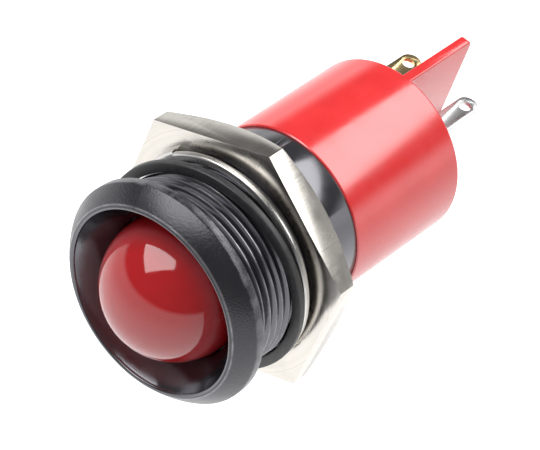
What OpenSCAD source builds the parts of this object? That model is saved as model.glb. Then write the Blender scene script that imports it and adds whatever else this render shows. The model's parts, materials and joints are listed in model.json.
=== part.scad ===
// Panel pilot light for a 22 mm hole: a domed lens in a threaded bezel barrel, held in a
// panel by a hex nut, with a moulded rear body that carries two solder tabs.
// The axis runs along Y. The lens looks towards -Y and the tabs point towards +Y.
// The origin is the centre of the flange's rear face, which seats on the panel.

/* [Bezel and barrel] */
// Outside diameter of the bezel flange
flange_d = 25.2; // [24.6:0.2:30]
// Width of the cylindrical edge band of the flange
flange_band = 1.0; // [0.6:0.1:2]
// How far the mouth of the bezel stands in front of the panel
bezel_front = 3.1; // [2.4:0.1:4]
// Diameter of the bezel's mouth, along the crest of its round lip
mouth_d = 21.4; // [20.4:0.1:21.8]
// Radius of the flange's domed front
crown_r = 9; // [6:0.5:20]
// Gap around the lens in the window at the bottom of the recess
window_gap = 0.25; // [0.15:0.05:0.35]
// Depth of the window behind the panel seat
window_y = 0.6; // [0.4:0.1:1]
// Depth of the shoulder that the lens seal rests on
shoulder_y = 2.2; // [2:0.1:3]
// Major diameter of the thread on the barrel
thread_d = 22; // [21.6:0.1:24]
// Pitch of the thread
pitch = 1.0; // [0.75:0.25:1.5]
// Where the thread ends, behind the panel seat
thread_end = 13.4; // [12.5:0.1:15]
// Wall of the plain rear band of the barrel
band_wall = 0.9; // [0.8:0.1:1]
// Overall length of the barrel behind the panel seat
barrel_len = 18; // [17:0.5:24]
// Width of the shoulder between the window and the barrel's bore
seat_w = 1.1; // [1:0.1:1.2]

/* [Lens and lamp] */
// Diameter of the dome
lens_d = 15.7; // [15:0.1:15.9]
// Length of the straight neck between the dome and the lens rim
lens_neck = 1.7; // [1.4:0.1:2.4]
// Wall of the lens
lens_wall = 1.2; // [0.8:0.1:2]
// Thickness of the lens rim
lens_rim = 1.0; // [0.6:0.1:2]
// Thickness of the seal under the lens rim
seal_t = 0.5; // [0.3:0.1:1]
// Length of the spacer ring between the lens and the lamp board
spacer_len = 1.7; // [1.2:0.1:3]
// Radial wall of the spacer ring
ring_wall = 0.9; // [0.5:0.1:1]
// Thickness of both circuit boards
board_t = 1.0; // [0.8:0.1:1.6]
// Number of light-emitting chips on the outer circle
led_ring_count = 6; // [4:1:6]
// Radius of the circle of chips
led_ring_r = 4.6; // [4:0.1:5.2]
// Side of one chip package
led_side = 2.0; // [1.6:0.1:2.4]
// Height of one chip package
led_h = 0.8; // [0.6:0.1:1]

/* [Rear body] */
// Outside diameter of the rear body
body_d = 20.5; // [20.4:0.1:20.8]
// Length of the rear body behind the barrel
body_len = 17.4; // [15:0.2:22]
// Wall of the rear body's spigot inside the barrel
spigot_wall = 0.9; // [0.7:0.1:1.2]
// Thickness of the rear wall
rear_wall = 2.0; // [1.5:0.1:3]
// Rounding of the rear rim
rim_round = 0.4; // [0.2:0.1:0.8]
// Thickness of the barrier fin between the tabs
fin_t = 1.2; // [1:0.1:2]
// How far the fin stands behind the rear wall
fin_len = 10.8; // [8:0.1:14]
// Rounding of the fin's outer corner
fin_round = 0.8; // [0.4:0.1:2]
// How far the fin runs past the axis
fin_below = 1.5; // [0:0.5:4]
// Slant of the fin's rear edge
fin_rake = 6.5; // [0:0.5:12]

/* [Terminals and driver] */
// Width of a solder tab
tab_w = 2.4; // [2.2:0.1:3]
// Thickness of a solder tab
tab_t = 0.5; // [0.4:0.1:0.8]
// Diameter of the hole in a tab
tab_hole_d = 1.4; // [1:0.1:1.5]
// Distance between the tabs' centre lines
tab_spacing = 8.2; // [7:0.1:9]
// Height of the tabs above the axis
tab_z = 4.75; // [4.25:0.05:5.2]
// Distance of the tab holes behind the rear wall
tab_hole_y = 7.3; // [6:0.1:9]
// Distance from a tab's hole to the centre of its round tip
tab_tip_offset = 0.4; // [0:0.1:1]
// Length of a tab that lies on the driver board
tab_foot = 3.4; // [2.5:0.1:4]
// Thickness of the sealing resin in front of the rear wall
resin_t = 3.4; // [2:0.1:5]
// Gap between the lamp board and the driver board
board_gap = 1.6; // [1:0.1:3]
// How deep the driver board reaches into the resin
board_grip = 1.4; // [0.5:0.1:1.8]

/* [Fixings on the barrel] */
// Width across the flats of the nut
nut_af = 27; // [26.5:0.1:30]
// Diameter of the nut's rear face, inside the chamfer of its corners
nut_face_d = 26.6; // [25:0.1:27]
// Thickness of the nut
nut_t = 3.4; // [3:0.1:5]
// Turn of the nut on the thread at rest
nut_angle = 6; // [0:1:59]
// Distance of the nut's front face behind the panel seat
nut_y = 8.57; // [8.57:0.01:9.6]
// Radial width of the spring washer's section
washer_w = 0.95; // [0.7:0.05:1.2]
// Thickness of the spring washer's section
washer_t = 0.85; // [0.6:0.05:1]
// Axial offset between the two ends of the spring washer
washer_rise = 0.8; // [0.4:0.05:0.8]
// Direction of the washer's split around the barrel, from the fin
split_angle = -46; // [-180:1:180]
// How far the gasket's edge stays inside the flange's
gasket_inset = 0.2; // [0:0.1:0.5]
// Thickness of the gasket
gasket_t = 0.8; // [0.5:0.1:1]
// Distance of the gasket's front face behind the panel seat, at the axis
gasket_y = 5.05; // [3:0.05:5.05]
// How far the gasket hangs askew on the thread
gasket_tilt = 5.6; // [0:0.1:6]

/* [Hidden] */
$fn = 96;
eps = 0.01;
fit_gap = 0.05;
nut_clearance = 0.05;
washer_clearance = 0.08;
gasket_clearance = 0.2;

flange_r = flange_d / 2;
mouth_r = mouth_d / 2;
thread_r = thread_d / 2;
lens_r = lens_d / 2;
window_r = lens_r + window_gap;
bore_r = window_r + seat_w;
band_r = bore_r + band_wall;
body_r = body_d / 2;
lip_r = 0.3;
lead = 0.5;
collar = 0.3;
thread_depth = 0.613 * pitch;
thread_phase = 0.84;
thread_turns = floor(thread_end / pitch - thread_phase) + 1;
root_r = thread_r - thread_depth;

rim_y = shoulder_y + seal_t;
spacer_y = rim_y + lens_rim;
lamp_board_y = spacer_y + spacer_len;
spigot_y = lamp_board_y + board_t;
rear_y = barrel_len + body_len;
inner_rear_y = rear_y - rear_wall;
cavity_r = bore_r - fit_gap - spigot_wall;
inside_r = bore_r - fit_gap;
dome_y = rim_y - lens_neck;

driver_y = spigot_y + board_gap;
driver_end = inner_rear_y - resin_t + board_grip;
driver_top = tab_z - tab_t / 2;
driver_half_w = sqrt(pow(cavity_r, 2) - pow(driver_top, 2)) - fit_gap;
tab_start = inner_rear_y - resin_t + board_grip - tab_foot;
hole_y = rear_y + tab_hole_y;

link_pitch = 2.54;
link_side = 0.5;
link_reach = 2.2;

resistor = [3.2, 6.3, 0.7];
resistor_x = 3.2;
resistor_y = driver_y + 3.4;
diode = [2.8, 4.3, 2.1];
diode_y = resistor_y + resistor[1] + 1.7;
regulator = [6.2, 6.6, 2.3];
regulator_y = driver_y + 1.2;
capacitor_d = 6.3;
capacitor_len = 11.2;
capacitor_y = regulator_y + regulator[1] + 0.8;

led_count = led_ring_count + 1;
tilt_axis = [0.3, 0, 1];

led_names = [for (i = [1:led_count]) str("led_chip_", i)];

// Stands a shape that was drawn along +Z on the Y axis.
module along_axis(y = 0) {
    translate([0, y, 0]) rotate([-90, 0, 0]) children();
}

// A flat ring around the Y axis.
module ring(outer_r, inner_r, y, len) {
    along_axis(y) difference() {
        cylinder(r = outer_r, h = len);
        translate([0, 0, -eps]) cylinder(r = inner_r, h = len + 2 * eps);
    }
}

// Half section of the domed flange, drawn as radius against depth. The dome's arc starts
// at the flange's edge band and meets the round lip of the mouth at a tangent.
module flange_section() {
    lip = [mouth_r, lip_r - bezel_front];
    span = [flange_r, -flange_band] - lip;
    along = span / norm(span);
    to_lip = crown_r - lip_r;
    run = (to_lip * to_lip - crown_r * crown_r + span * span) / (2 * norm(span));
    rise = sqrt(to_lip * to_lip - run * run);
    center = lip + run * along + rise * [-along[1], along[0]];
    touch = center + (lip - center) * crown_r / to_lip;
    intersection() {
        translate(center) circle(r = crown_r);
        translate([touch[0], -bezel_front]) square([flange_r - touch[0], bezel_front]);
    }
    translate(lip) circle(r = lip_r, $fn = 48);
    translate([0, lip[1]]) square([touch[0] + eps, -lip[1]]);
}

// Half section of the barrel as if it were solid. The turns of the thread are closed rings.
module barrel_section() {
    translate([0, -eps]) square([thread_r, collar + eps]);
    translate([0, -eps]) square([root_r, thread_end + eps]);
    intersection() {
        for (k = [0:thread_turns - 1]) thread_turn((thread_phase + k) * pitch);
        polygon([[0, 0], [thread_r, 0], [thread_r, thread_end - lead],
                 [thread_r - lead, thread_end], [0, thread_end]]);
    }
    translate([0, thread_end - eps]) square([band_r, barrel_len - thread_end + eps]);
}

module thread_turn(y) {
    half_crest = pitch / 16;
    half_root = half_crest + thread_depth * tan(30);
    polygon([[root_r - eps, y - half_root], [thread_r, y - half_crest],
             [thread_r, y + half_crest], [root_r - eps, y + half_root]]);
}

module bezel_housing() {
    color("#26262a") along_axis() rotate_extrude() difference() {
        union() {
            flange_section();
            barrel_section();
        }
        polygon([[0, -bezel_front - 1], [mouth_r - lip_r, -bezel_front - 1],
                 [mouth_r - lip_r, lip_r - bezel_front], [window_r, window_y],
                 [window_r, shoulder_y + eps], [0, shoulder_y + eps]]);
        translate([0, shoulder_y]) square([bore_r, barrel_len]);
    }
}

module lens() {
    inner_r = lens_r - lens_wall;
    color("#a81c22") along_axis() rotate_extrude() difference() {
        union() {
            intersection() {
                translate([0, dome_y]) circle(r = lens_r);
                translate([0, dome_y - lens_r]) square([lens_r, lens_r]);
            }
            translate([0, dome_y - eps]) square([lens_r, rim_y - dome_y + 2 * eps]);
            translate([0, rim_y]) square([inside_r, lens_rim]);
        }
        intersection() {
            translate([0, dome_y]) circle(r = inner_r);
            translate([0, dome_y - lens_r]) square([lens_r, lens_r]);
        }
        translate([0, dome_y - eps]) square([inner_r, spacer_y - dome_y + 1]);
    }
}

module lens_seal() {
    color("#3a3a3a") ring(inside_r, window_r, shoulder_y, seal_t);
}

module led_spacer() {
    color("white") ring(inside_r, inside_r - ring_wall, spacer_y, spacer_len);
}

module led_board() {
    color("#e8e8e2") difference() {
        along_axis(lamp_board_y) cylinder(r = inside_r, h = board_t);
        for (side = [-1, 1])
            translate([side * link_pitch / 2 - link_side / 2 - fit_gap, lamp_board_y - 1,
                       tab_z - link_side / 2 - fit_gap])
                cube([link_side + 2 * fit_gap, board_t + 2, link_side + 2 * fit_gap]);
    }
}

// Chip 1 sits on the axis and the others share a circle around it.
module led_chip(i) {
    angle = (i - 2) * 360 / led_ring_count;
    place = i == 1 ? [0, 0] : led_ring_r * [cos(angle), sin(angle)];
    color("#f4ecc8") translate([place[0], lamp_board_y - led_h, place[1]]) difference() {
        translate([-led_side / 2, 0, -led_side / 2]) cube([led_side, led_h, led_side]);
        rotate([-90, 0, 0]) translate([0, 0, -eps]) cylinder(r = led_side * 0.38, h = led_h / 2);
    }
}

module link_pin(side) {
    color("gold") translate([side * link_pitch / 2 - link_side / 2, lamp_board_y, driver_top])
        cube([link_side, driver_y + link_reach - lamp_board_y, link_side]);
}

module driver_board() {
    color("#2f6b3c") translate([-driver_half_w, driver_y, driver_top - board_t])
        cube([2 * driver_half_w, driver_end - driver_y, board_t]);
}

// A block with its base on the board's upper face and its front edge at y.
module on_board(size, x, y) {
    translate([x - size[0] / 2, y, driver_top]) cube(size);
}

module surface_resistor(side) {
    color("#222222") on_board(resistor, side * resistor_x, resistor_y);
}

module protection_diode() {
    color("#1c1c1c") on_board(diode, 0, diode_y);
}

// Hangs under the board, with its base on the board's lower face.
module current_regulator() {
    color("#1c1c1c") translate([-regulator[0] / 2, regulator_y, driver_top - board_t - regulator[2]])
        cube(regulator);
}

module smoothing_capacitor() {
    color("#24406e") translate([0, 0, driver_top - board_t - capacitor_d / 2])
        along_axis(capacitor_y) cylinder(d = capacitor_d, h = capacitor_len);
}

module rear_body() {
    spigot_r = bore_r - fit_gap;
    color("#c81e28") difference() {
        union() {
            along_axis() rotate_extrude() difference() {
                union() {
                    translate([0, spigot_y]) square([spigot_r, barrel_len - spigot_y + eps]);
                    translate([0, barrel_len]) square([body_r, body_len - rim_round]);
                    translate([0, rear_y - rim_round - eps]) square([body_r - rim_round, rim_round + eps]);
                    intersection() {
                        translate([body_r - rim_round, rear_y - rim_round]) circle(r = rim_round, $fn = 48);
                        translate([0, rear_y - rim_round - eps]) square([body_r, body_len]);
                    }
                }
                translate([0, spigot_y - 1]) square([cavity_r, inner_rear_y - spigot_y + 1]);
            }
            barrier_fin();
        }
        for (side = [-1, 1]) tab_slot(side);
    }
}

// The outline of the fin, flush with the side of the body.
module barrier_fin() {
    top_z = sqrt(pow(body_r, 2) - pow(fin_t / 2, 2));
    base_y = rear_y - rear_wall / 2;
    corner_z = top_z - fin_round;
    corner_y = rear_y + fin_len - fin_round;
    rake_z = corner_z - fin_round * sin(fin_rake);
    rake_y = corner_y + fin_round * cos(fin_rake);
    low_y = rake_y - (rake_z + fin_below) * tan(fin_rake);
    translate([fin_t / 2, 0, 0]) rotate([0, -90, 0]) linear_extrude(height = fin_t) union() {
        polygon([[-fin_below, base_y], [top_z, base_y], [top_z, corner_y],
                 [rake_z, rake_y], [-fin_below, low_y]]);
        translate([corner_z, corner_y]) circle(r = fin_round, $fn = 48);
    }
}

module tab_slot(side) {
    translate([side * tab_spacing / 2 - tab_w / 2 - fit_gap, tab_start - 1, tab_z - tab_t / 2 - fit_gap])
        cube([tab_w + 2 * fit_gap, rear_y - tab_start + 2, tab_t + 2 * fit_gap]);
}

module sealing_resin() {
    front_y = inner_rear_y - resin_t;
    color("#5a4630") difference() {
        along_axis(front_y) cylinder(r = cavity_r - fit_gap, h = resin_t);
        for (side = [-1, 1]) tab_slot(side);
        translate([-driver_half_w - 1, front_y - 1, driver_top - board_t])
            cube([2 * driver_half_w + 2, board_grip + 1, board_t + 2 * fit_gap]);
    }
}

module terminal(side, finish) {
    color(finish) translate([side * tab_spacing / 2, 0, tab_z - tab_t / 2]) difference() {
        union() {
            translate([-tab_w / 2, tab_start, 0]) cube([tab_w, hole_y + tab_tip_offset - tab_start, tab_t]);
            translate([0, hole_y + tab_tip_offset, 0]) cylinder(d = tab_w, h = tab_t);
        }
        translate([0, hole_y, -eps]) cylinder(d = tab_hole_d, h = tab_t + 2 * eps);
    }
}

module gasket() {
    color("#303033") translate([0, gasket_y, 0]) rotate(a = gasket_tilt, v = tilt_axis)
        ring(flange_r - gasket_inset, thread_r + gasket_clearance, 0, gasket_t);
}

// A helical ring with a rounded section and a slanted split, as sprung steel washers have.
module spring_washer() {
    steps = 72;
    corners = 12;
    slit = 4;
    slant = 3;
    inner_r = thread_r + washer_clearance;
    front_y = nut_y - eps * 2 - washer_rise - washer_t;
    section = [for (k = [0:corners - 1]) let (a = (k + 0.5) * 360 / corners)
        [washer_w / 2 * rounded(cos(a)), washer_t / 2 * rounded(sin(a))]];
    points = [for (i = [0:steps], q = section)
        let (turn = split_angle + slit / 2 + (360 - slit) * i / steps + slant * q[1] / washer_t,
             r = inner_r + washer_w / 2 + q[0])
        [r * sin(turn), front_y + washer_t / 2 + washer_rise * i / steps + q[1], r * cos(turn)]];
    sides = [for (i = [0:steps - 1], k = [0:corners - 1]) let (n = (k + 1) % corners)
        [i * corners + k, (i + 1) * corners + k, (i + 1) * corners + n, i * corners + n]];
    ends = [[for (k = [0:corners - 1]) k], [for (k = [0:corners - 1]) (steps + 1) * corners - 1 - k]];
    color("#c9c7c2") polyhedron(points, concat(sides, ends));
}

// Pushes a section's corners outwards, so that it is a rounded square and not a circle.
function rounded(v) = sign(v) * pow(abs(v), 0.6);

// The corners are chamfered on the rear face only.
module hex_nut() {
    corner_r = nut_af / sqrt(3);
    face_r = nut_face_d / 2;
    chamfer = (corner_r - face_r) * tan(30);
    color("#cfc9bf") along_axis(nut_y) difference() {
        intersection() {
            rotate([0, 0, 30 + nut_angle]) cylinder(r = corner_r, h = nut_t, $fn = 6);
            union() {
                cylinder(r = corner_r, h = nut_t - chamfer + eps);
                translate([0, 0, nut_t - chamfer]) cylinder(r1 = corner_r, r2 = face_r, h = chamfer);
            }
        }
        translate([0, 0, -eps]) cylinder(r = thread_r + nut_clearance, h = nut_t + 2 * eps);
    }
}

bezel_housing();
lens();
lens_seal();
led_spacer();
led_board();
for (i = [1:led_count]) led_chip(i);
link_pin(-1);  // link_pin_1
link_pin(1);  // link_pin_2
driver_board();
surface_resistor(-1);  // resistor_1
surface_resistor(1);  // resistor_2
protection_diode();
current_regulator();
smoothing_capacitor();
rear_body();
sealing_resin();
terminal(-1, "gold");  // terminal_positive
terminal(1, "silver");  // terminal_negative
gasket();
spring_washer();
hex_nut();
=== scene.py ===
import bpy
import json
from math import pi, sin, cos, tan, atan2, degrees, radians, sqrt
from mathutils import Matrix, Quaternion, Vector


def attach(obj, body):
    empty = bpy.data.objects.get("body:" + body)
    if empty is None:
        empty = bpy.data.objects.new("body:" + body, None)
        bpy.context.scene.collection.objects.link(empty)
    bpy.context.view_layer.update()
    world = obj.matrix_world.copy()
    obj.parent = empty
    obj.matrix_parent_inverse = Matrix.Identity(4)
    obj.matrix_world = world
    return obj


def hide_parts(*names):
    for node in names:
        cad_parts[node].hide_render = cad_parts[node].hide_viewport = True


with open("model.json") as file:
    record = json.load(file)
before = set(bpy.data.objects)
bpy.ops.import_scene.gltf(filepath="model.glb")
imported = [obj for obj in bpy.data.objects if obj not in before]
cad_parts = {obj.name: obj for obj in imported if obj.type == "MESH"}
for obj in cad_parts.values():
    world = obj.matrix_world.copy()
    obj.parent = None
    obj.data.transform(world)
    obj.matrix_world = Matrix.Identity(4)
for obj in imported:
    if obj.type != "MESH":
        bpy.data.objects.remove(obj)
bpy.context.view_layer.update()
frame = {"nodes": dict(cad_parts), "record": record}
print("frame loaded")

# modelling helpers, with all sizes in millimetres

def clearSelection():
    if bpy.context.object and bpy.context.object.mode != "OBJECT":
        bpy.ops.object.mode_set(mode="OBJECT")
    bpy.ops.object.select_all(action="DESELECT")


def pick(piece):
    clearSelection()
    piece.select_set(True)
    bpy.context.view_layer.objects.active = piece


def arcPoints(center, radius, start, end, count):
    points = []
    for i in range(count + 1):
        angle = radians(start + (end - start) * i / count)
        points.append((center[0] + radius * cos(angle), center[1] + radius * sin(angle)))
    return points


def drawOutline(name, points):
    # a plane merged to one vertex, then drawn on from point to point
    clearSelection()
    bpy.ops.mesh.primitive_plane_add(size=0.001)
    piece = bpy.context.object
    piece.name = name
    bpy.ops.object.mode_set(mode="EDIT")
    bpy.ops.mesh.select_mode(type="VERT")
    bpy.ops.mesh.merge(type="CENTER")
    last = Vector((points[0][0] / 1000, points[0][1] / 1000, 0))
    bpy.ops.transform.translate(value=last)
    for point in points[1:]:
        here = Vector((point[0] / 1000, point[1] / 1000, 0))
        bpy.ops.mesh.extrude_vertices_move(TRANSFORM_OT_translate={"value": here - last})
        last = here
    bpy.ops.object.mode_set(mode="OBJECT")
    return piece


def closeUp(piece):
    pick(piece)
    bpy.ops.object.mode_set(mode="EDIT")
    bpy.ops.mesh.select_all(action="SELECT")
    bpy.ops.mesh.remove_doubles(threshold=0.000002)
    bpy.ops.mesh.normals_make_consistent(inside=False)
    bpy.ops.object.mode_set(mode="OBJECT")


def latheOutline(name, points, steps):
    piece = drawOutline(name, points)
    pick(piece)
    bpy.ops.object.mode_set(mode="EDIT")
    bpy.ops.mesh.select_all(action="SELECT")
    bpy.ops.mesh.spin(steps=steps, angle=2 * pi, center=(0, 0, 0), axis=(0, 1, 0))
    closeUp(piece)
    return piece


def sweepHelix(name, section, rise, turns, steps):
    piece = drawOutline(name, section + section[:1])
    closeUp(piece)
    sweep = piece.modifiers.new("sweep", "SCREW")
    sweep.axis = "Y"
    sweep.angle = 2 * pi * turns
    sweep.screw_offset = rise / 1000
    sweep.steps = sweep.render_steps = steps
    pick(piece)
    bpy.ops.object.modifier_apply(modifier=sweep.name)
    bpy.ops.object.mode_set(mode="EDIT")
    bpy.ops.mesh.select_all(action="SELECT")
    bpy.ops.mesh.fill_holes(sides=0)
    closeUp(piece)
    return piece


def bevelEdges(piece, width, segments, angle=30):
    bevel = piece.modifiers.new("edges", "BEVEL")
    bevel.width = width / 1000
    bevel.segments = segments
    bevel.limit_method = "ANGLE"
    bevel.angle_limit = radians(angle)
    pick(piece)
    bpy.ops.object.modifier_apply(modifier=bevel.name)


def combine(piece, tool, operation):
    join = piece.modifiers.new("join", "BOOLEAN")
    join.operation = operation
    join.solver = "MANIFOLD"
    join.object = tool
    pick(piece)
    bpy.ops.object.modifier_apply(modifier=join.name)
    bpy.data.objects.remove(tool)


def addBlock(name, size, place):
    clearSelection()
    bpy.ops.mesh.primitive_cube_add(size=1, location=Vector(place) / 1000, scale=Vector(size) / 1000)
    block = bpy.context.object
    block.name = name
    bpy.ops.object.transform_apply()
    return block


def addRod(name, radius, length, place, axis, sides=96, turn=0):
    clearSelection()
    lean = (pi / 2, 0, 0) if axis == "Y" else (0, 0, 0)
    bpy.ops.mesh.primitive_cylinder_add(vertices=sides, radius=radius / 1000, depth=length / 1000,
                                        location=Vector(place) / 1000, rotation=lean)
    rod = bpy.context.object
    rod.name = name
    bpy.ops.object.transform_apply()
    if turn:
        rod.data.transform(Matrix.Rotation(radians(turn), 4, axis))
    return rod


def settle(piece, body, nodes, material, smooth=32):
    closeUp(piece)
    pick(piece)
    bpy.ops.object.shade_smooth_by_angle(angle=radians(smooth))
    piece.data.materials.clear()
    piece.data.materials.append(material)
    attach(piece, body)
    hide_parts(*nodes)


# material helpers, with all lengths in metres

def startMaterial(name):
    material = bpy.data.materials.new(name)
    material.use_nodes = True
    nodes = material.node_tree.nodes
    shader = nodes["Principled BSDF"]
    coords = nodes.new("ShaderNodeTexCoord")
    return material, nodes, material.node_tree.links, shader, coords


def addNoise(nodes, links, coords, scale, detail=4, rough=0.5, stretch=None):
    noise = nodes.new("ShaderNodeTexNoise")
    noise.inputs["Scale"].default_value = scale
    noise.inputs["Detail"].default_value = detail
    noise.inputs["Roughness"].default_value = rough
    source = coords.outputs["Object"]
    if stretch:
        mapping = nodes.new("ShaderNodeMapping")
        mapping.inputs["Scale"].default_value = stretch
        links.new(source, mapping.inputs["Vector"])
        source = mapping.outputs["Vector"]
    links.new(source, noise.inputs["Vector"])
    return noise.outputs["Fac"]


def addRange(nodes, links, source, low, high, toLow, toHigh):
    span = nodes.new("ShaderNodeMapRange")
    span.inputs["From Min"].default_value = low
    span.inputs["From Max"].default_value = high
    span.inputs["To Min"].default_value = toLow
    span.inputs["To Max"].default_value = toHigh
    links.new(source, span.inputs["Value"])
    return span.outputs["Result"]


def addMath(nodes, links, operation, first, second):
    result = nodes.new("ShaderNodeMath")
    result.operation = operation
    for i, value in enumerate((first, second)):
        if isinstance(value, (int, float)):
            result.inputs[i].default_value = value
        else:
            links.new(value, result.inputs[i])
    return result.outputs[0]


def mixColors(nodes, links, factor, first, second):
    mix = nodes.new("ShaderNodeMix")
    mix.data_type = "RGBA"
    for socket, value in ((mix.inputs[0], factor), (mix.inputs[6], first), (mix.inputs[7], second)):
        if isinstance(value, (int, float)):
            socket.default_value = value
        elif isinstance(value, tuple):
            socket.default_value = (*value, 1)
        else:
            links.new(value, socket)
    return mix.outputs[2]


def addBump(nodes, links, shader, height, strength, distance):
    bump = nodes.new("ShaderNodeBump")
    bump.inputs["Strength"].default_value = strength
    bump.inputs["Distance"].default_value = distance
    links.new(height, bump.inputs["Height"])
    links.new(bump.outputs["Normal"], shader.inputs["Normal"])


def radiusOf(nodes, links, coords):
    # distance from the barrel's axis, in metres
    flat = nodes.new("ShaderNodeVectorMath")
    flat.operation = "MULTIPLY"
    flat.inputs[1].default_value = (1, 0, 1)
    links.new(coords.outputs["Object"], flat.inputs[0])
    length = nodes.new("ShaderNodeVectorMath")
    length.operation = "LENGTH"
    links.new(flat.outputs["Vector"], length.inputs[0])
    return length.outputs["Value"]


# a moulded, sprayed or painted surface: slight mottling, uneven gloss, fine grain
def makeSkin(name, color, shade, roughness, grain=900, bump=0.15, uneven=0.06):
    material, nodes, links, shader, coords = startMaterial(name)
    mottle = addNoise(nodes, links, coords, 260, 3)
    links.new(mixColors(nodes, links, addRange(nodes, links, mottle, 0.35, 0.65, 0, 1), color, shade),
              shader.inputs["Base Color"])
    patch = addNoise(nodes, links, coords, 420, 5)
    links.new(addRange(nodes, links, patch, 0.3, 0.7, roughness - uneven, roughness + uneven),
              shader.inputs["Roughness"])
    fine = addNoise(nodes, links, coords, grain, 3)
    addBump(nodes, links, shader, fine, bump, 0.00004)
    return material


# where the black plating is rubbed pale, from its axis outwards, and its color there
wear = {"crest": (0.01086, 0.01098), "belowFlange": (0.01102, 0.01110), "rim": (0.01250, 0.01260),
        "color": (0.30, 0.30, 0.32)}

def makeBlackPlating(name, roughness, gloss, grainBump):
    # black plating, rubbed on the crests of the thread and along the flange's rim
    material, nodes, links, shader, coords = startMaterial(name)
    radius = radiusOf(nodes, links, coords)
    scuff = addNoise(nodes, links, coords, 700, 5)
    crest = addRange(nodes, links, radius, *wear["crest"], 0, 1)
    belowFlange = addRange(nodes, links, radius, *wear["belowFlange"], 1, 0)
    rubbed = addMath(nodes, links, "MULTIPLY", crest, belowFlange)
    rubbed = addMath(nodes, links, "MULTIPLY", rubbed, addRange(nodes, links, scuff, 0.3, 0.6, 0.35, 1))
    rim = addRange(nodes, links, radius, *wear["rim"], 0, 0.35)
    rim = addMath(nodes, links, "MULTIPLY", rim, addRange(nodes, links, scuff, 0.42, 0.6, 0, 1))
    worn = addMath(nodes, links, "MAXIMUM", rubbed, rim)
    mottle = addNoise(nodes, links, coords, 320, 3)
    plain = mixColors(nodes, links, mottle, (0.010, 0.010, 0.012), (0.018, 0.018, 0.022))
    links.new(mixColors(nodes, links, worn, plain, wear["color"]), shader.inputs["Base Color"])
    patch = addNoise(nodes, links, coords, 380, 5)
    links.new(addRange(nodes, links, patch, 0.3, 0.7, roughness - 0.04, roughness + 0.05),
              shader.inputs["Roughness"])
    shader.inputs["IOR"].default_value = gloss
    shader.inputs["Specular IOR Level"].default_value = 1
    links.new(addMath(nodes, links, "MULTIPLY", worn, 0.8), shader.inputs["Metallic"])
    shader.inputs["Specular Tint"].default_value = (0.94, 0.93, 1, 1)
    addBump(nodes, links, shader, addNoise(nodes, links, coords, 5500, 2), grainBump, 0.00004)
    return material


# where the nut's turned faces end, along the barrel and from its axis outwards
turnedFaces = {"front": (0.00862, 0.0087), "rear": (0.01188, 0.01194), "flats": (0.0133, 0.01345)}

def makeTurnedMetal(name, color, shade, roughness, rings, bump, dirt=(0.25, 0.22, 0.18)):
    # plated metal with turning rings on its faces and fine drawn lines on its flats
    material, nodes, links, shader, coords = startMaterial(name)
    radius = radiusOf(nodes, links, coords)
    wave = nodes.new("ShaderNodeTexNoise")
    wave.noise_dimensions = "1D"
    wave.inputs["Scale"].default_value = rings
    wave.inputs["Detail"].default_value = 4
    links.new(radius, wave.inputs["W"])
    depth = nodes.new("ShaderNodeSeparateXYZ")
    links.new(coords.outputs["Object"], depth.inputs[0])
    frontFace = addRange(nodes, links, depth.outputs["Y"], *turnedFaces["front"], 1, 0)
    rearFace = addRange(nodes, links, depth.outputs["Y"], *turnedFaces["rear"], 0, 1)
    ends = addMath(nodes, links, "ADD", frontFace, rearFace)
    insideFlats = addRange(nodes, links, radius, *turnedFaces["flats"], 1, 0)
    turned = addMath(nodes, links, "MAXIMUM", ends, insideFlats)
    drawn = addNoise(nodes, links, coords, 5200, 2, 0.5, (1, 0.03, 1))
    flat = addMath(nodes, links, "SUBTRACT", 1, turned)
    marks = addMath(nodes, links, "ADD", addMath(nodes, links, "MULTIPLY", wave.outputs["Fac"], turned),
                    addMath(nodes, links, "MULTIPLY", drawn, flat))
    tarnish = addNoise(nodes, links, coords, 210, 5, 0.6)
    body = mixColors(nodes, links, addRange(nodes, links, marks, 0.35, 0.65, 0, 1), color, shade)
    links.new(mixColors(nodes, links, addRange(nodes, links, tarnish, 0.55, 0.8, 0, 0.2), body, dirt),
              shader.inputs["Base Color"])
    links.new(addRange(nodes, links, tarnish, 0.3, 0.7, roughness - 0.05, roughness + 0.08),
              shader.inputs["Roughness"])
    shader.inputs["Metallic"].default_value = 1
    addBump(nodes, links, shader, marks, bump, 0.00003)
    return material


def makePlate(name, color, shade, roughness, stretch=(1, 1, 1), scale=1500, bump=0.15):
    # stamped and plated sheet with faint rolling marks
    material, nodes, links, shader, coords = startMaterial(name)
    marks = addNoise(nodes, links, coords, scale, 4, 0.5, stretch)
    links.new(mixColors(nodes, links, addRange(nodes, links, marks, 0.35, 0.65, 0, 1), color, shade),
              shader.inputs["Base Color"])
    links.new(addRange(nodes, links, marks, 0.3, 0.7, roughness - 0.05, roughness + 0.07),
              shader.inputs["Roughness"])
    shader.inputs["Metallic"].default_value = 1
    addBump(nodes, links, shader, marks, bump, 0.00002)
    return material


def makeRedLens():
    # translucent red with a thin film of handling marks
    material, nodes, links, shader, coords = startMaterial("redLens")
    cloud = addNoise(nodes, links, coords, 160, 3)
    links.new(mixColors(nodes, links, cloud, (0.42, 0.008, 0.012), (0.50, 0.013, 0.017)),
              shader.inputs["Base Color"])
    film = addNoise(nodes, links, coords, 500, 5)
    links.new(addRange(nodes, links, film, 0.35, 0.7, 0.05, 0.12), shader.inputs["Roughness"])
    shader.inputs["Specular IOR Level"].default_value = 1
    shader.inputs["Coat Weight"].default_value = 0.1
    shader.inputs["Coat Roughness"].default_value = 0.03
    shader.inputs["Subsurface Weight"].default_value = 0.8
    shader.inputs["Subsurface Radius"].default_value = (1, 0.06, 0.05)
    shader.inputs["Subsurface Scale"].default_value = 0.008
    addBump(nodes, links, shader, addNoise(nodes, links, coords, 900, 2), 0.03, 0.00002)
    return material


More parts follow.
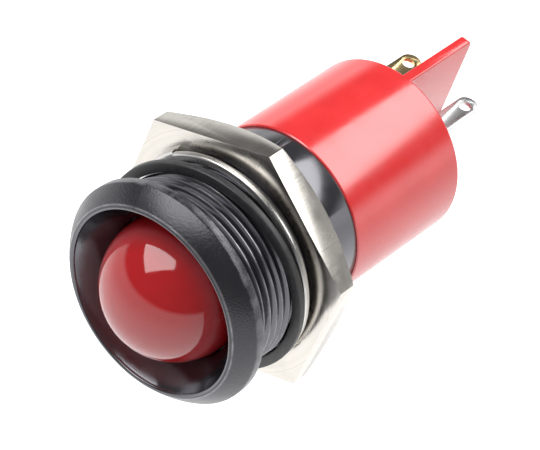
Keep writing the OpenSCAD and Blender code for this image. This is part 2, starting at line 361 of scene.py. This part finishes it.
def makeRubber(name, color, dust):
    # rubber with a fine grain that holds pale dust
    material, nodes, links, shader, coords = startMaterial(name)
    grain = addNoise(nodes, links, coords, 1600, 4)
    links.new(mixColors(nodes, links, addRange(nodes, links, grain, 0.45, 0.75, 0, 0.6), color, dust),
              shader.inputs["Base Color"])
    links.new(addRange(nodes, links, grain, 0.3, 0.7, 0.36, 0.5), shader.inputs["Roughness"])
    shader.inputs["Specular IOR Level"].default_value = 0.8
    addBump(nodes, links, shader, grain, 0.12, 0.00003)
    return material


# the barrel is glossy, and the front of the flange is finely grained
blackPlating = makeBlackPlating("blackPlating", 0.15, 1.8, 0.08)
grainedPlating = makeBlackPlating("grainedPlating", 0.26, 1.5, 0.8)
redLens = makeRedLens()
redMoulding = makeSkin("redMoulding", (0.74, 0.022, 0.024), (0.80, 0.028, 0.030), 0.18, 1400, 0.05, 0.03)
redShader = redMoulding.node_tree.nodes["Principled BSDF"]
redShader.inputs["Specular IOR Level"].default_value = 1
redShader.inputs["IOR"].default_value = 1.68
nickelPlate = makeTurnedMetal("nickelPlate", (0.74, 0.70, 0.65), (0.68, 0.65, 0.60), 0.22, 5200, 0.2)
washerPlate = makePlate("washerPlate", (0.80, 0.79, 0.77), (0.76, 0.75, 0.73), 0.3, (1, 1, 1), 700, 0.03)
goldPlate = makePlate("goldPlate", (0.86, 0.68, 0.34), (0.78, 0.60, 0.30), 0.24, (3, 0.4, 3), 1200, 0.15)
tinPlate = makePlate("tinPlate", (0.78, 0.78, 0.78), (0.68, 0.69, 0.70), 0.3, (3, 0.4, 3), 1200, 0.15)
gasketRubber = makeRubber("gasketRubber", (0.022, 0.022, 0.024), (0.05, 0.05, 0.053))
print("materials made")

# the bezel, with its lip, flange and threaded barrel
bezel = {"flangeRadius": 12.6, "flangeBand": 1.0, "mouthRadius": 10.7, "front": -3.1, "lipRadius": 0.3,
         "crownRadius": 9, "window": 8.1, "windowDepth": 0.6, "shoulder": 2.2, "bore": 9.2, "length": 18,
         "band": 10.1, "threadRoot": 10.39, "threadCrest": 11, "threadStart": -0.983, "threadEnd": 13.4,
         "threadTurns": 15, "threadLead": 0.5, "pitch": 1, "collar": 0.3, "collarSlope": 0.3,
         "edgeBevel": 0.07}

def crownArc():
    # the dome of the flange, from the round lip to the edge band, tangent to the lip
    lipCenter = Vector((bezel["mouthRadius"], bezel["front"] + bezel["lipRadius"]))
    edge = Vector((bezel["flangeRadius"], -bezel["flangeBand"]))
    span = edge - lipCenter
    radius = bezel["crownRadius"]
    toLip = radius - bezel["lipRadius"]
    run = (toLip ** 2 - radius ** 2 + span.length_squared) / (2 * span.length)
    along = span.normalized()
    center = lipCenter + run * along + sqrt(toLip ** 2 - run ** 2) * Vector((-along.y, along.x))
    start = degrees(atan2(*(lipCenter - center).yx))
    end = degrees(atan2(*(edge - center).yx))
    lip = arcPoints(lipCenter, bezel["lipRadius"], -180, start, 10)
    return lip + arcPoints(center, radius, start, end, 14)[1:-1]

crown = crownArc()
outline = crown + [(bezel["flangeRadius"], -bezel["flangeBand"]), (bezel["flangeRadius"], 0),
                   (bezel["threadCrest"], 0), (bezel["threadCrest"], bezel["collar"]),
                   (bezel["threadRoot"], bezel["collar"] + bezel["collarSlope"]),
                   (bezel["threadRoot"], bezel["threadEnd"]), (bezel["band"], bezel["threadEnd"]),
                   (bezel["band"], bezel["length"]), (bezel["bore"], bezel["length"]),
                   (bezel["bore"], bezel["shoulder"]), (bezel["window"], bezel["shoulder"]),
                   (bezel["window"], bezel["windowDepth"]), crown[0]]
housing = latheOutline("bezelHousing", outline, 192)
bevelEdges(housing, bezel["edgeBevel"], 2, 24)

def addThread(name):
    # one ridge wound up the barrel, with a slightly blunt crest that runs out at the end
    crest, root = bezel["threadCrest"], bezel["threadRoot"]
    blunt, shoulder, tip = 0.06, 0.1, 0.04
    sunk = 0.14  # how far the ridge's foot is in the barrel
    half = (crest - root) * tan(radians(30))
    section = [(root - sunk, -half - sunk), (crest - blunt, -shoulder), (crest, -tip),
               (crest, tip), (crest - blunt, shoulder), (root - sunk, half + sunk)]
    turns = bezel["threadTurns"]
    ridge = sweepHelix(name, [(x, y + bezel["threadStart"]) for x, y in section], bezel["pitch"] * turns,
                       turns, 96 * turns)
    for point in ridge.data.vertices:
        depth = point.co.y * 1000
        limit = crest
        if depth > bezel["threadEnd"] - bezel["threadLead"]:
            limit = crest - (depth - bezel["threadEnd"] + bezel["threadLead"])
        if depth > bezel["threadEnd"]:
            limit = root - 0.4  # past its end, the ridge is inside the barrel's wall
        radius = sqrt(point.co.x ** 2 + point.co.z ** 2) * 1000
        if radius > limit:
            point.co.x *= limit / radius
            point.co.z *= limit / radius
    return ridge

thread = addThread("threadRidge")
combine(housing, thread, "UNION")
settle(housing, "root", ["bezel_housing"], blackPlating, 28)
housing.data.materials.append(grainedPlating)
for face in housing.data.polygons:
    radius = sqrt(face.center.x ** 2 + face.center.z ** 2) * 1000
    if face.center.y < 0 and radius > bezel["mouthRadius"]:
        face.material_index = 1
print("bezel made")

# the domed lens, whose rim is behind the bezel's shoulder
lensSize = {"radius": 7.85, "wall": 1.2, "center": 1.0, "rimRadius": 9.15, "rimFront": 2.7, "rimBack": 3.7,
            "edgeBevel": 0.08}
inner = lensSize["radius"] - lensSize["wall"]
outline = (arcPoints((0, lensSize["center"]), lensSize["radius"], -90, 0, 40)
           + [(lensSize["radius"], lensSize["rimFront"]), (lensSize["rimRadius"], lensSize["rimFront"]),
              (lensSize["rimRadius"], lensSize["rimBack"]), (inner, lensSize["rimBack"])]
           + arcPoints((0, lensSize["center"]), inner, 0, -90, 30))
lens = latheOutline("lensDome", outline, 160)
bevelEdges(lens, lensSize["edgeBevel"], 2, 40)
settle(lens, "root", ["lens"], redLens, 30)
print("lens made")

# the rear body, whose spigot goes into the barrel, and its fin
rear = {"radius": 10.25, "front": 18, "back": 35.4, "wall": 2.0, "spigot": 9.15, "cavity": 8.25,
        "spigotStart": 6.4, "frontChamfer": 0.12, "rimRound": 0.4}
rimCenter = (rear["radius"] - rear["rimRound"], rear["back"] - rear["rimRound"])
outline = ([(0, rear["back"] - rear["wall"]), (rear["cavity"], rear["back"] - rear["wall"]),
            (rear["cavity"], rear["spigotStart"]), (rear["spigot"], rear["spigotStart"]),
            (rear["spigot"], rear["front"]), (rear["radius"] - rear["frontChamfer"], rear["front"]),
            (rear["radius"], rear["front"] + rear["frontChamfer"])]
           + arcPoints(rimCenter, rear["rimRound"], 0, 90, 8) + [(0, rear["back"])])
rearBody = latheOutline("rearBody", outline, 192)

fin = {"thick": 1.2, "top": 10.232, "below": -1.5, "start": 34.4, "end": 46.2, "cornerRound": 0.8,
       "rake": 6.5, "edgeBevel": 0.16}
finHeight = fin["top"] - fin["below"]
finPlate = addBlock("barrierFin", (fin["thick"], fin["end"] - fin["start"], finHeight),
                    (0, (fin["start"] + fin["end"]) / 2, (fin["top"] + fin["below"]) / 2))
for point in finPlate.data.vertices:
    if point.co.y > 0.040 and point.co.z < 0:  # the lower end is raked forward
        point.co.y -= finHeight * tan(radians(fin["rake"])) / 1000

def roundCorner(piece, width, segments, test):
    pick(piece)
    bpy.ops.object.mode_set(mode="EDIT")
    bpy.ops.mesh.select_mode(type="EDGE")
    bpy.ops.mesh.select_all(action="DESELECT")
    bpy.ops.object.mode_set(mode="OBJECT")
    for edge in piece.data.edges:
        a, b = (piece.data.vertices[i].co for i in edge.vertices)
        edge.select = test(a) and test(b)
    bpy.ops.object.mode_set(mode="EDIT")
    bpy.ops.mesh.bevel(offset=width / 1000, segments=segments)
    bpy.ops.object.mode_set(mode="OBJECT")

roundCorner(finPlate, fin["cornerRound"], 10, lambda co: co.y > 0.045 and co.z > 0.010)
bevelEdges(finPlate, fin["edgeBevel"], 3, 40)
combine(rearBody, finPlate, "UNION")

# the two solder tabs, and the slots that they come out of
tab = {"width": 2.4, "thick": 0.5, "spacing": 8.2, "height": 4.75, "start": 28.0, "hole": 42.7,
       "holeRadius": 0.7, "tip": 43.1, "edgeBevel": 0.05, "slotGap": 0.1, "slotLength": 12,
       "slotCenter": 33}
for side in (-1, 1):
    slotSize = (tab["width"] + tab["slotGap"], tab["slotLength"], tab["thick"] + tab["slotGap"])
    slot = addBlock("slotTool", slotSize, (side * tab["spacing"] / 2, tab["slotCenter"], tab["height"]))
    combine(rearBody, slot, "DIFFERENCE")
settle(rearBody, "root", ["rear_body"], redMoulding, 32)
print("rear body made")

def addTerminal(name, side):
    middle = side * tab["spacing"] / 2
    strip = addBlock(name, (tab["width"], tab["tip"] - tab["start"], tab["thick"]),
                     (middle, (tab["tip"] + tab["start"]) / 2, tab["height"]))
    tip = addRod("tipTool", tab["width"] / 2, tab["thick"], (middle, tab["tip"], tab["height"]), "Z", 64)
    combine(strip, tip, "UNION")
    hole = addRod("holeTool", tab["holeRadius"], 2, (middle, tab["hole"], tab["height"]), "Z", 48)
    combine(strip, hole, "DIFFERENCE")
    closeUp(strip)
    bevelEdges(strip, tab["edgeBevel"], 2, 50)
    return strip

terminals = [("terminalPositive", -1, "terminal_positive", "gold_plate", goldPlate),
             ("terminalNegative", 1, "terminal_negative", "tin_plate", tinPlate)]
for name, side, node, plating, material in terminals:
    settle(addTerminal(name, side), "root", [node], material)
print("tabs made")

# the gasket hangs a little askew on the thread
gasketSize = {"outer": 12.4, "inner": 11.2, "thick": 0.8, "center": 5.05, "tilt": 5.6,
              "tiltAxis": (0.3, 0, 1), "edgeBevel": 0.14}
gasket = latheOutline("gasketRing", [(gasketSize["inner"], 0), (gasketSize["outer"], 0),
                                     (gasketSize["outer"], gasketSize["thick"]),
                                     (gasketSize["inner"], gasketSize["thick"]),
                                     (gasketSize["inner"], 0)], 160)
bevelEdges(gasket, gasketSize["edgeBevel"], 3)
tilt = Matrix.Rotation(radians(gasketSize["tilt"]), 4, Vector(gasketSize["tiltAxis"]))
hang = Matrix.Translation((0, gasketSize["center"] / 1000, 0)) @ tilt
gasket.data.transform(hang)
settle(gasket, "gasket", ["gasket"], gasketRubber)
print("gasket made")

# the split spring washer, its section a softened rectangle
washerSize = {"radius": 11.555, "width": 0.95, "thick": 0.85, "start": 7.325, "rise": 0.8, "slit": 4,
              "split": -46, "corners": 20, "softness": 0.6}
section = []
for i in range(washerSize["corners"]):
    angle = radians((i + 0.5) * 360 / washerSize["corners"])
    across = abs(cos(angle)) ** washerSize["softness"] * (1 if cos(angle) > 0 else -1)
    along = abs(sin(angle)) ** washerSize["softness"] * (1 if sin(angle) > 0 else -1)
    section.append((washerSize["radius"] + across * washerSize["width"] / 2,
                    washerSize["start"] + along * washerSize["thick"] / 2))
turn = (360 - washerSize["slit"]) / 360
washer = sweepHelix("springWasher", section, washerSize["rise"], turn, 180)
washer.data.transform(Matrix.Rotation(radians(washerSize["split"] + washerSize["slit"] / 2 - 90), 4, "Y"))
settle(washer, "spring_washer", ["spring_washer"], washerPlate, 50)
print("washer made")

# the nut, chamfered at the rear and countersunk at both ends of its bore
nutSize = {"flats": 27, "thick": 3.4, "front": 8.57, "faceRadius": 13.3, "chamferAngle": 30, "bore": 11.05,
           "countersink": 0.4, "turn": 6, "edgeBevel": 0.07}
reach = 1  # how far the tools reach past the nut's faces
outside = 0.5  # how far the cone reaches past its corners
cornerRadius = nutSize["flats"] / sqrt(3)
slope = tan(radians(nutSize["chamferAngle"]))
chamfer = (cornerRadius - nutSize["faceRadius"]) * slope
front = nutSize["front"]
back = front + nutSize["thick"]
nut = addRod("hexNut", cornerRadius, nutSize["thick"], (0, (front + back) / 2, 0), "Y", 6, nutSize["turn"])
cone = latheOutline("coneTool", [(0, front - reach), (cornerRadius + outside, front - reach),
                                 (cornerRadius + outside, back - chamfer - outside * slope),
                                 (nutSize["faceRadius"] - reach, back + reach * slope),
                                 (0, back + reach * slope)], 240)
combine(nut, cone, "INTERSECT")
sinkRadius = nutSize["bore"] + nutSize["countersink"] + reach
boreTool = latheOutline("boreTool", [(0, front - reach), (sinkRadius, front - reach),
                                     (nutSize["bore"], front + nutSize["countersink"]),
                                     (nutSize["bore"], back - nutSize["countersink"]),
                                     (sinkRadius, back + reach), (0, back + reach)], 160)
combine(nut, boreTool, "DIFFERENCE")
closeUp(nut)
bevelEdges(nut, nutSize["edgeBevel"], 2, 20)
settle(nut, "hex_nut", ["hex_nut"], nickelPlate, 26)
print("nut made")

# the inner parts keep their solids and get a finish each
sealRubber = makeRubber("sealRubber", (0.04, 0.04, 0.04), (0.1, 0.1, 0.1))
whitePlastic = makeSkin("whitePlastic", (0.80, 0.80, 0.78), (0.84, 0.84, 0.82), 0.5)
lampBoard = makeSkin("lampBoard", (0.78, 0.78, 0.74), (0.82, 0.82, 0.78), 0.4)
ledPackage = makeSkin("ledPackage", (0.85, 0.78, 0.48), (0.88, 0.82, 0.56), 0.22)
pinGold = makePlate("pinGold", (0.78, 0.58, 0.26), (0.70, 0.52, 0.24), 0.25, (1, 0.3, 1), 1800)
greenBoard = makeSkin("greenBoard", (0.03, 0.16, 0.06), (0.05, 0.21, 0.08), 0.35)
componentBlack = makeSkin("componentBlack", (0.02, 0.02, 0.02), (0.03, 0.03, 0.03), 0.55)
sleeveBlue = makeSkin("sleeveBlue", (0.03, 0.07, 0.2), (0.04, 0.09, 0.24), 0.3)
resinBrown = makeSkin("resinBrown", (0.1, 0.06, 0.03), (0.13, 0.08, 0.04), 0.2)
finishes = {"seal_rubber": sealRubber, "white_plastic": whitePlastic, "board_white": lampBoard,
            "led_package": ledPackage, "pin_gold": pinGold, "board_green": greenBoard,
            "component_black": componentBlack, "capacitor_sleeve": sleeveBlue, "resin": resinBrown}
for part in frame["record"]["subparts"]:
    finish = finishes.get(part["material_slot"])
    if finish:
        node = frame["nodes"][part["node"]]
        node.data.materials.clear()
        node.data.materials.append(finish)
print("inner parts finished")

# a pale floor that looks white itself, and is dimmer in polished parts
floorSetup = {"size": 30, "height": -0.2, "color": (0.86, 0.86, 0.86, 1), "roughness": 0.9,
              "glowSeen": 0.75, "glowInGloss": 0.4}
clearSelection()
bpy.ops.mesh.primitive_plane_add(size=floorSetup["size"], location=(0, 0, floorSetup["height"]))
ground = bpy.context.object
ground.name = "floor"
groundMaterial = bpy.data.materials.new("paleFloor")
groundMaterial.use_nodes = True
nodes, links = groundMaterial.node_tree.nodes, groundMaterial.node_tree.links
pale = nodes["Principled BSDF"]
pale.inputs["Base Color"].default_value = floorSetup["color"]
pale.inputs["Roughness"].default_value = floorSetup["roughness"]
path = nodes.new("ShaderNodeLightPath")
shown = addMath(nodes, links, "MAXIMUM", path.outputs["Is Camera Ray"], path.outputs["Is Transmission Ray"])
glow = nodes.new("ShaderNodeEmission")
glowSeen = addMath(nodes, links, "MULTIPLY", shown, floorSetup["glowSeen"])
glowInGloss = addMath(nodes, links, "MULTIPLY", path.outputs["Is Glossy Ray"], floorSetup["glowInGloss"])
links.new(addMath(nodes, links, "ADD", glowSeen, glowInGloss), glow.inputs["Strength"])
both = nodes.new("ShaderNodeAddShader")
links.new(pale.outputs[0], both.inputs[0])
links.new(glow.outputs[0], both.inputs[1])
links.new(both.outputs[0], nodes["Material Output"].inputs["Surface"])
ground.data.materials.append(groundMaterial)

# polished parts see the pale backdrop up to the horizon, its haze at the rear and the dim studio above
studio = {"horizon": (0.02, 0.14, 0.9, 0.12), "haze": (0.1, 0.29, 1.1, 0.1),
          "hazeFromRear": (0.1, 0.4, 0, 1), "hazeLean": 0.07, "fill": 0.6}
world = bpy.data.worlds.new("studio")
bpy.context.scene.world = world
world.use_nodes = True
nodes, links = world.node_tree.nodes, world.node_tree.links
path = nodes.new("ShaderNodeLightPath")
shown = addMath(nodes, links, "MAXIMUM", path.outputs["Is Camera Ray"], path.outputs["Is Transmission Ray"])
seen = addMath(nodes, links, "MAXIMUM", shown, path.outputs["Is Glossy Ray"])
backdrop = nodes["Background"]
backdrop.inputs["Color"].default_value = (1, 1, 1, 1)
sky = nodes.new("ShaderNodeTexCoord")
split = nodes.new("ShaderNodeSeparateXYZ")
links.new(sky.outputs["Generated"], split.inputs[0])
ceiling = addRange(nodes, links, split.outputs["Z"], *studio["horizon"])
lean = addMath(nodes, links, "MULTIPLY", split.outputs["X"], studio["hazeLean"])
height = addMath(nodes, links, "SUBTRACT", split.outputs["Z"], lean)
haze = addMath(nodes, links, "MULTIPLY", addRange(nodes, links, height, *studio["haze"]),
               addRange(nodes, links, split.outputs["Y"], *studio["hazeFromRear"]))
ceiling = addMath(nodes, links, "MAXIMUM", ceiling, haze)
ceiling = addMath(nodes, links, "MAXIMUM", ceiling, shown)
mirrored = addMath(nodes, links, "MULTIPLY", ceiling, seen)
dim = addMath(nodes, links, "MULTIPLY", addMath(nodes, links, "SUBTRACT", 1, seen), studio["fill"])
links.new(addMath(nodes, links, "ADD", mirrored, dim), backdrop.inputs["Strength"])

def addSoftbox(name, place, size, power):
    lamp = bpy.data.lights.new(name, "AREA")
    lamp.shape = "RECTANGLE"
    lamp.size, lamp.size_y = size
    lamp.energy = power
    box = bpy.data.objects.new(name, lamp)
    bpy.context.collection.objects.link(box)
    box.location = place
    box.rotation_euler = (Vector(place) - Vector((0, 0.018, 0))).to_track_quat("Z", "Y").to_euler()

addSoftbox("rearBox", (0.135, 0.345, 0.36), (0.56, 0.2), 1.12)
addSoftbox("frontBox", (-0.23, -0.13, 0.42), (0.46, 0.42), 2.1)

cameraSetup = {"azimuth": 27.97, "elevation": 44.12, "roll": 18.51, "distance": 307.56, "lens": 201.8,
               "aim": (3.46, 9.79, 6.43)}
turn, lift = radians(cameraSetup["azimuth"]), radians(cameraSetup["elevation"])
away = Vector((cos(lift) * sin(turn), -cos(lift) * cos(turn), sin(lift)))
camera = bpy.data.objects.new("camera", bpy.data.cameras.new("camera"))
bpy.context.collection.objects.link(camera)
camera.data.lens = cameraSetup["lens"]
camera.data.sensor_width = 36
camera.data.clip_start = 0.01
camera.location = Vector(cameraSetup["aim"]) / 1000 + away * cameraSetup["distance"] / 1000
rolled = away.to_track_quat("Z", "Y") @ Quaternion((0, 0, 1), radians(cameraSetup["roll"]))
camera.rotation_euler = rolled.to_euler()
bpy.context.scene.camera = camera
bpy.context.scene.view_settings.view_transform = "Standard"
print("stage set")
